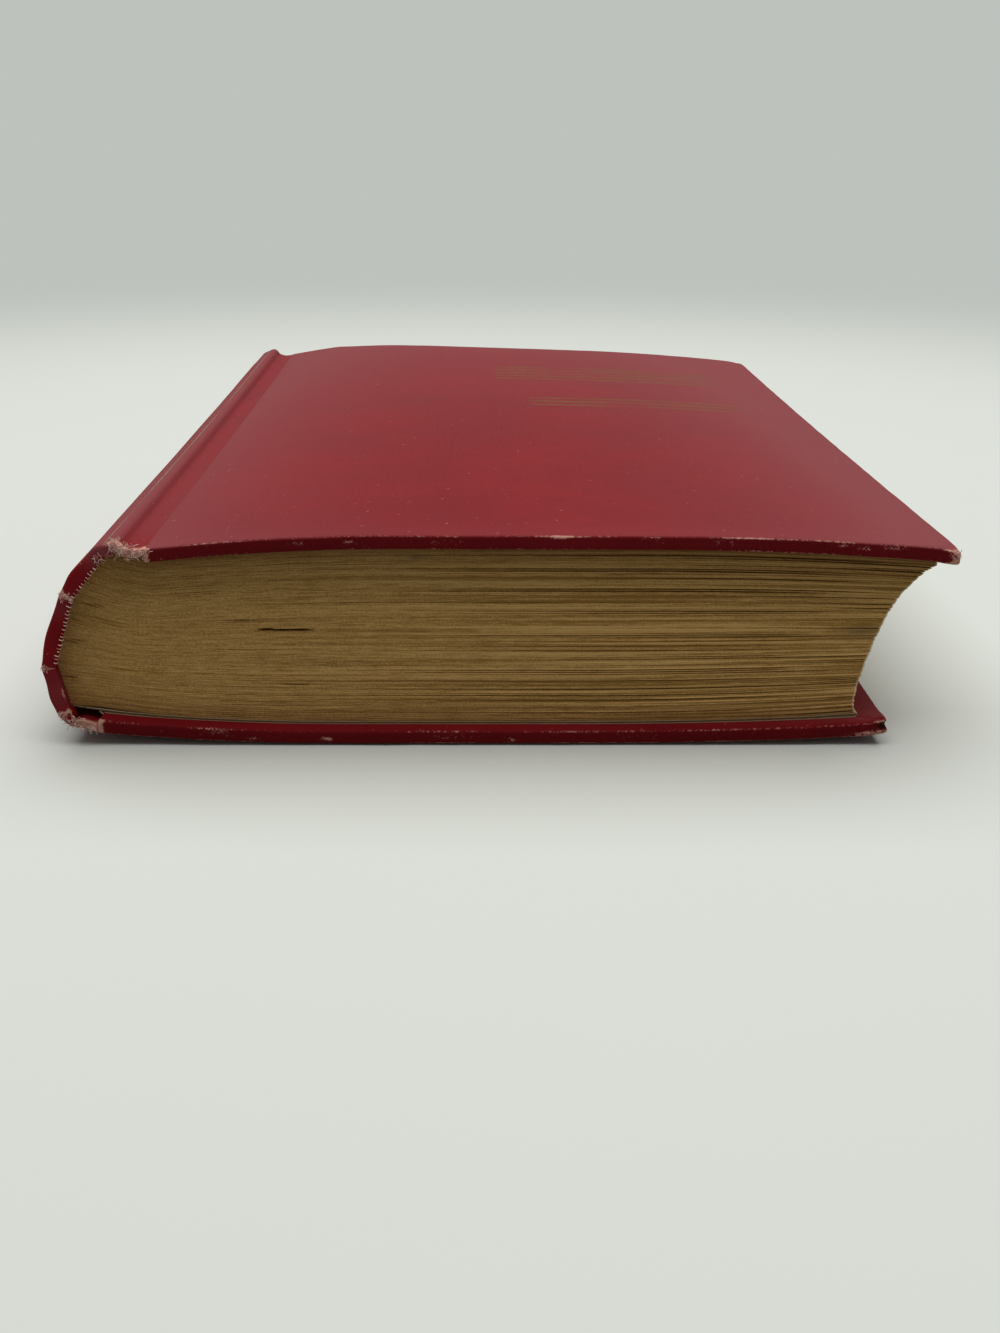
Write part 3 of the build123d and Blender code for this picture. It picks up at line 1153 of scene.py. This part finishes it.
def flat_cover():
    """A cover laid flat, its outer face below: rounded rim, turned-in cloth and mitred corners."""
    piece = add_block("cover", (0, -cover_end, 0), (cover_width, cover_end, cover_thickness))

    def within_turn_in(p):
        slope_middle = turn_in_slope / 2
        within = p.x < turn_in_x - slope_middle and abs(p.y) < turn_in_y - slope_middle
        return within and p.z > cover_thickness / 2

    with editing(piece):
        pick("EDGE", lambda a, b: a.x > corner_round and along(2)(a, b))
        bpy.ops.mesh.bevel(offset=corner_round * mm, segments=corner_segments, affect="EDGES")
        pick("EDGE", lambda a, b: abs(a.z - b.z) < touch)
        bpy.ops.mesh.bevel(offset=edge_round * mm, segments=edge_segments, affect="EDGES")
        slice_up(0, np.linspace(cover_first_cut, cover_width - rim_width, cover_columns))
        slice_up(1, np.linspace(rim_width - cover_end, cover_end - rim_width, cover_rows))
        slice_up(2, np.linspace(edge_round, inner_face, cover_layers)[1:-1])
        slice_up(0, [turn_in_x, turn_in_x - turn_in_slope])
        slice_up(1, [-turn_in_y, turn_in_slope - turn_in_y, turn_in_y - turn_in_slope, turn_in_y])
        pick("VERT", within_turn_in)
        bpy.ops.transform.translate(value=(0, 0, -turn_in_step * mm))
        for side in (-1, 1):
            sink_mitre(side)
        unwrap_flat()
    return piece


def dress_cover(piece, edge, front_cover, scuffs, corners, fold):
    """Bends a flat cover to its cup, dents its rim and marks where its cloth is rubbed, where it gets
    painted sheen and painted shade, and where its rim is darker.
    """
    x, y, depth = points_of(piece)
    to_fore = cover_width - x
    to_end = cover_end - np.abs(y)
    rim = np.clip(np.minimum(to_fore, to_end), 0, None)
    tail = y + cover_end
    head = cover_end - y
    seed = 1.0 if front_cover else 2.0
    inner = np.clip(depth / cover_thickness * 2 - 1, 0, 1)
    on_top = np.clip(1 - depth / edge_round, 0, 1)

    dent = dent_height * fading(rim, rim_reach) * ripple(x / dent_size, y / dent_size, seed)
    dent += pit_height * ripple(x / pit_size, y / pit_size, seed + 10)
    waves = wave_height * ripple(x / wave_size, y / wave_size, seed + 20)
    pushes = ripple(x / push_size + y / push_size, y / push_length, seed + 30) - push_bias
    pushed = push_height * fading(rim, push_reach) * pushes
    swell = rim_swell * fading(rim, rim_reach)

    edge_lines = outer_rub * bump_at(depth, rub_place, rub_depth)
    edge_lines += inner_rub * bump_at(depth, cover_thickness - rub_place, rub_depth)
    amount = bump_at(rim, rub_place, rub_width) * edge_lines
    amount *= 1 + rub_change * ripple(x / rub_length, y / rub_length, seed + 40)
    amount += edge_rub * fading(rim, edge_rub_reach)
    for middle, half_width, side_depth, strength in scuffs:
        scuff = strength * bump_at(tail, 0, scuff_reach) * bump_at(x, middle, half_width)
        amount += scuff * bump_at(depth, side_depth, scuff_height)
    for side, size, strength in corners:
        far = np.hypot(to_fore, side * cover_end - y)
        amount += strength * bump_at(far, 0, size)
        swell += corner_swell * strength * bump_at(far, 0, corner_swell_reach)
        pushed += corner_push * strength * bump_at(far, 0, corner_push_reach)
    for distance, strength in ((tail, fray_tail), (head, fray_head)):
        amount += strength * bump_at(x, 0, fray_width) * bump_at(distance, 0, fray_reach)
    notch = bump_at(to_fore, 0, notch_width) * bump_at(tail, 0, notch_reach)
    notch = notch * bump_at(depth, notch_depth, notch_height) * fold
    mark(piece, "wear", amount * (1 - notch))

    # Painted sheen on the top face towards the fore-edge, the spine, the rims and the head, and painted
    # light on the turned-in cloth near the fore-edge
    haze = least_haze + fore_haze * fading(to_fore, fore_haze_reach)
    haze += spine_haze * fading(x, spine_haze_reach)
    haze += rim_haze * fading(rim, rim_haze_reach)
    haze += head_haze * np.clip(tail / (2 * cover_end), 0, 1) ** 2
    turned_in = turn_in_haze * inner * fading(to_fore, turn_in_haze_reach)
    turned_in *= np.clip(tail - turn_in_haze_start, 0, 1)
    mark(piece, "painted_sheen", haze * on_top + turned_in)
    # Painted shade in the open fold, and darker cloth along the rim below the top face
    mark(piece, "dark", notch_shade * notch + rim_darkening * fading(rim, rim_darkening_reach) * (1 - on_top))

    pushed = pushed - notch_push * notch
    place_x = x + np.where(to_fore < rim_width, pushed, 0)
    place_y = y + np.sign(y) * np.where(to_end < rim_width, pushed, 0)
    outer_dent = np.clip(dent + waves, 0, dent_limit) * (1 - inner)
    middle = cover_thickness / 2
    from_corner = np.hypot(to_fore, to_end)
    thinning = corner_thinning * bump_at(from_corner, 0, corner_thinning_reach)
    depth = middle + (depth - middle) * (1 - thinning)
    droop = corner_droop * bump_at(from_corner, 0, corner_droop_reach)
    level = cup(x, depth + outer_dent + swell * inner) + droop
    if front_cover:
        bend(piece, edge + place_x, place_y, book_thickness - level, turned=True)
    else:
        bend(piece, edge + place_x * (1 + back_spread / cover_width), place_y, level)


def make_covers():
    """The two covers, the second a copy of the first."""
    back = flat_cover()
    front = back.copy()
    front.data = back.data.copy()
    bpy.context.scene.collection.objects.link(front)
    back.name = back.data.name = "back_cover_cloth"
    front.name = front.data.name = "front_cover_cloth"
    dress_cover(back, back_edge, False, back_scuffs, back_corners, fold=1)
    dress_cover(front, front_edge, True, front_scuffs, front_corners, fold=0)
    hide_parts("back_cloth")
    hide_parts("front_cloth")
    dress(back, red_cloth, "back_cover")
    dress(front, stamped_cloth, "front_cover")


def make_spine():
    """Cloth of the spine over its card, turned in at head and tail."""
    piece = add_block("spine_cover_cloth", (0, -cover_end, 0), (spine_line.total, cover_end, spine_wall))
    with editing(piece):
        pick("EDGE", along(0))
        bpy.ops.mesh.bevel(offset=spine_edge_round * mm, segments=edge_segments, affect="EDGES")
        slice_up(0, np.linspace(spine_first_cut, spine_line.total - spine_first_cut, spine_columns))
        slice_rows(cover_end)
        unwrap_flat()
    s, y, depth = points_of(piece)
    to_end = cover_end - np.abs(y)
    tail = cover_end + y
    head = cover_end - y

    taper = np.clip(np.minimum(s, spine_line.total - s) / wall_taper - taper_start, 0, 1)
    wall = cloth + (spine_wall - cloth) * taper
    wall += spine_rim * taper * bump_at(to_end, 0, spine_rim_reach)
    dents = ripple(s / spine_dent_width, y / spine_dent_length, seed=4.0)
    dent = spine_dent * dents * fading(to_end, spine_dent_reach)
    dent += spine_wave * ripple(s / spine_wave_width, y / spine_wave_length, seed=6.0)
    panels = [roll_place, *crease_places, back_ridge_place]
    for start, end, bulge in zip(panels, panels[1:], panel_bulges):
        across = np.clip((s - start) / (end - start), 0, 1)
        dent -= bulge * np.sin(across**panel_skew * math.pi) ** 2
    inward = dent * (1 - depth / spine_wall) + depth / spine_wall * wall
    tears = ripple(s / spine_torn_width, np.sign(y) * spine_torn_shift, seed=8.0) - spine_torn_bias
    torn = spine_torn * fading(to_end, spine_torn_reach) * tears

    rim = bump_at(to_end, spine_rub_place, spine_rub_width)
    amount = spine_outer_rub * rim * bump_at(depth, spine_outer_place, spine_outer_depth)
    amount += spine_inner_rub * rim * bump_at(depth, spine_wall - spine_inner_place, spine_inner_depth)
    at_ends = crease_fray_tail * fading(tail, crease_fray_reach)
    at_ends += crease_fray_head * fading(head, crease_fray_reach)
    for place, width in zip(crease_places, crease_fray_widths):
        amount += crease_rub * bump_at(s, place, crease_rub_width) + at_ends * bump_at(s, place, width)
    off_inside = 1 - bump_at(depth, spine_wall, ridge_rub_depth)
    amount += ridge_rub * bump_at(s, ridge_place, ridge_rub_width) * off_inside
    for place, half_width, strength in end_frays:
        amount += strength * bump_at(s, place, half_width) * fading(tail, end_fray_reach)
    spot = panel_spot * bump_at(s, panel_spot_place, panel_spot_width) * fading(tail, panel_spot_reach)
    amount += spot * bump_at(depth, spine_wall, panel_spot_depth)
    mark(piece, "wear", amount)
    # Painted sheen on the spine's ridge and in bands across it
    haze = ridge_haze * bump_at(s, ridge_place, ridge_haze_width) * np.clip(1 - depth, 0, 1)
    for place, half_width, strength in haze_bands:
        haze += strength * bump_at(s, place, half_width)
    mark(piece, "painted_sheen", haze)

    place_x, place_z = spine_line.beside(s, inward)
    bend(piece, place_x, y + np.sign(y) * torn, place_z)
    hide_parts("spine_cloth")
    dress(piece, red_cloth, "text_block")


def make_strip(name, corners, edge, end, thickness, rounding):
    """Flat strip that follows a line in section, with its points' place along, across and through it."""
    rounds = [rounding] * (len(corners) - 2)
    line = SectionLine(rounded_line([(edge + x, z) for x, z in corners], rounds, strip_segments))
    piece = add_block(name, (0, -end, 0), (line.total, end, thickness))
    with editing(piece):
        slice_up(0, np.linspace(strip_margin * line.total, (1 - strip_margin) * line.total, strip_columns))
        slice_rows(end)
        unwrap_flat()
    s, y, depth = points_of(piece)
    return piece, line, s, y, depth


def make_joint(name, corners, edge, body, fray):
    """Strip of cloth that bends between the spine and a cover, thicker where it is turned in."""
    piece, line, s, y, depth = make_strip(name, corners, edge, cover_end, cloth, joint_round)
    side = -1 if body == "front_cover" else 1
    to_end = cover_end - np.abs(y)
    tail = cover_end + y
    sag = np.clip(joint_sag * ripple(s / joint_sag_width, y / joint_sag_length, seed=9.0), 0, 1)
    inward = side * (depth * (1 + joint_turn_in * fading(to_end, joint_turn_in_reach)) + sag)
    torn = joint_torn + joint_torn_change * ripple(s / joint_torn_width, y, seed=14.0)
    torn = fading(to_end, joint_torn_reach) * torn

    off_cover = np.clip((joint_wear_end + edge - line.at(s)[0]) / joint_wear_fade, 0, 1)
    patches = ripple(s / joint_patch_size, y / joint_patch_size, seed=16.0)
    uneven = (joint_patch + joint_patch * patches) * off_cover
    amount = fray * bump_at(tail, 0, joint_fray_reach) + joint_rub * fading(to_end, joint_rub_reach)
    mark(piece, "wear", uneven * amount + joint_least_rub)
    # Painted sheen on the joint's outer face, stronger towards the head
    haze = np.clip(joint_haze - depth / cloth, 0, 1)
    mark(piece, "painted_sheen", haze * np.clip(joint_tail_haze + tail / joint_haze_length, 0, 1))

    place_x, place_z = line.beside(s, inward)
    bend(piece, place_x, y - np.sign(y) * torn, place_z, turned=side < 0)
    dress(piece, red_cloth, None)
    cross_joint(piece)


def make_hinge(name, corners, edge, body):
    """Strip of paper that bends between a free endpaper and its pastedown."""
    piece, line, s, y, depth = make_strip(name, corners, edge, leaf_end, paper, hinge_round)
    side = 1 if body == "front_cover" else -1
    place_x, place_z = line.beside(s, side * depth)
    bend(piece, place_x, y, place_z, turned=side < 0)
    dress(piece, paper_finish, None)
    cross_joint(piece)


def twisted_copy(node, finish, body, end=cover_end):
    """A sheet or board as its solid gives it, with the book's twist, cut off at an end."""
    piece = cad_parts[node].copy()
    piece.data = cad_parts[node].data.copy()
    piece.name = piece.data.name = node + "_twisted"
    piece.parent = None
    bpy.context.scene.collection.objects.link(piece)
    select_only(piece)
    with editing(piece):
        bpy.ops.mesh.select_all(action="SELECT")
        bpy.ops.mesh.remove_doubles(threshold=weld_distance * mm)
        slice_up(1, np.linspace(-end, end, copy_rows)[1:-1])
    x, y, z = points_of(piece)
    bend(piece, x, np.clip(y, -end, end), z)
    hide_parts(node)
    dress(piece, finish, body)


def new_threads(name):
    """Curve that loose threads are added to."""
    data = bpy.data.curves.new(name, "CURVE")
    data.dimensions = "3D"
    data.bevel_depth = thread_radius * mm
    data.bevel_resolution = 1
    data.resolution_u = 3
    return data


def add_thread(data, places, weight=1.0):
    strand = data.splines.new("NURBS")
    strand.points.add(len(places) - 1)
    for point, place in zip(strand.points, places):
        point.co = (*[v * mm for v in place], 1)
        point.radius = weight * chance.uniform(*thread_weights)
    strand.order_u = 3
    strand.use_endpoint_u = True


def scatter(spread):
    return Vector([chance.gauss(0, s) for s in spread])


def add_tuft(data, centre, spread, way, count, length, curl=soft_curl):
    """Short curled threads scattered about a centre."""
    for _ in range(count):
        places = [Vector(centre) + scatter(spread)]
        heading = Vector(way) + scatter(heading_spread)
        for _ in range(thread_steps):
            heading = (heading + scatter((curl, curl * curl_across, curl))).normalized()
            step = places[-1] + heading * length * chance.uniform(*thread_step_shares)
            step.y = max(step.y, -cover_end - thread_limit)
            places.append(step)
        add_thread(data, places)


def finish_threads(data, body):
    """Makes the threads a mesh that moves with a body."""
    piece = bpy.data.objects.new(data.name, data)
    bpy.context.scene.collection.objects.link(piece)
    select_only(piece)
    bpy.ops.object.convert(target="MESH")
    piece = bpy.context.object
    bend(piece, *points_of(piece))
    dress(piece, thread_finish, body)
    return piece


def make_tufts(name, edge, tufts, body):
    """Threads of several tufts, with their places from an edge and the tail."""
    data = new_threads(name)
    for (x, y, z), *rest in tufts:
        add_tuft(data, (edge + x, -cover_end + y, z), *rest)
    return finish_threads(data, body)


def make_spine_threads():
    """Thread ends along the inside of the spine's tail, and tufts at its creases and its roll."""
    data = new_threads("spine_threads")
    inner = spine_wall + spine_rim
    first = roll_place - tick_start
    last = crease_places[1] - tick_stop
    for i in range(int((last - first) / tick_spacing)):
        s = first + i * tick_spacing + chance.uniform(-tick_waver, tick_waver)
        slant = chance.uniform(0.0, tick_slant)
        path = [(inner - chance.uniform(*tick_lengths), 0.0)]
        path += [(inner - short, inside) for short, inside in tick_path]
        places = []
        for depth, inside in path:
            x, z = spine_line.beside(s, depth)
            places.append((x, -cover_end + inside, z + slant * (inner - depth)))
        add_thread(data, places, tick_weight)
    for place, (height, count) in zip(crease_places, crease_tufts):
        x, z = spine_line.beside(place, crease_tuft_depth)
        left_x, left_z = spine_line.left(place)
        spread = (crease_tuft_width * abs(left_x) + crease_tuft_least, crease_tuft_reach, height / 2)
        way = (left_x, crease_tuft_way, left_z)
        add_tuft(data, (x, -cover_end + crease_tuft_inside, z), spread, way, count, crease_tuft_length)
    x, z = spine_line.beside(roll_place + roll_tuft_place, roll_tuft_depth)
    add_tuft(data, (x, -cover_end + roll_tuft_inside, z), *roll_tuft)
    finish_threads(data, "text_block")


def make_threads():
    """Frayed ends of the spine, the joints and the corners."""
    make_spine_threads()
    piece = make_tufts("front_joint_threads", front_edge, front_joint_tufts, None)
    cross_joint(piece)
    piece = make_tufts("back_joint_threads", back_edge, back_joint_tufts, None)
    cross_joint(piece)
    make_tufts("front_corner_threads", front_edge + cover_width, front_corner_tufts, "front_cover")
    make_tufts("back_corner_threads", back_edge + cover_width, back_corner_tufts, "back_cover")


make_leaf_block()
make_covers()
make_spine()
make_joint("front_joint_cloth", front_joint, front_edge, "front_cover", front_fray)
make_joint("back_joint_cloth", back_joint, back_edge, "back_cover", back_fray)
make_hinge("front_hinge_paper", front_hinge, front_edge, "front_cover")
make_hinge("back_hinge_paper", back_hinge, back_edge, "back_cover")
for side in ("front", "back"):
    twisted_copy(side + "_board", board_finish, side + "_cover")
    twisted_copy(side + "_pastedown", paper_finish, side + "_cover")
    twisted_copy(side + "_free_endpaper", free_paper_finish, "text_block")
twisted_copy("spine_lining", lining_finish, "text_block", leaf_end - lining_short)
twisted_copy("spine_inlay", board_finish, "text_block")
make_threads()

# Table, just below the book, and the light of the room, in metres
table_size = 6
table_level = -0.0003
bpy.ops.object.select_all(action="DESELECT")
bpy.ops.mesh.primitive_plane_add(size=table_size, location=(0, 0, table_level))
table = bpy.context.object
table.name = "table"
table.data.materials.append(table_top("table"))

world = bpy.data.worlds.new("studio")
bpy.context.scene.world = world
sky = Finish(world)
backdrop = sky.mix(sky.seen(), fill_light, backdrop_grey)
background = sky.node("ShaderNodeBackground", sockets={"Color": backdrop, "Strength": 1.0})
sky.node("ShaderNodeOutputWorld", sockets={"Surface": background})

# Softbox above the book
lamp_place = (0.0, 0.08, 0.85)
lamp_tilt = math.radians(-5)
lamp_size = 1.25
lamp_power = 10.6
bpy.ops.object.light_add(type="AREA", location=lamp_place, rotation=(lamp_tilt, 0, 0))
lamp = bpy.context.object
lamp.name = "overhead_softbox"
lamp.data.size = lamp_size
lamp.data.energy = lamp_power

# Camera at the tail of the book
focal_pixels = 1425.0
frame_height = 1333.0
sensor = 36.0
nearest_seen = 0.01
camera_place = Vector((-4.167, -330.347, 100.672)) * mm
camera_pitch = math.radians(20.854)
camera_yaw = math.radians(-1.214)
camera_roll = math.radians(0.47)
turn = Matrix.Rotation(camera_yaw, 4, "Z") @ Matrix.Rotation(math.pi / 2 - camera_pitch, 4, "X")
turn = turn @ Matrix.Rotation(camera_roll, 4, "Z")
bpy.ops.object.camera_add(location=camera_place)
camera = bpy.context.object
camera.matrix_world = Matrix.Translation(camera_place) @ turn
camera.data.sensor_width = sensor
camera.data.lens = focal_pixels / frame_height * sensor
camera.data.clip_start = nearest_seen
bpy.context.scene.camera = camera
bpy.context.scene.view_settings.view_transform = "Standard"
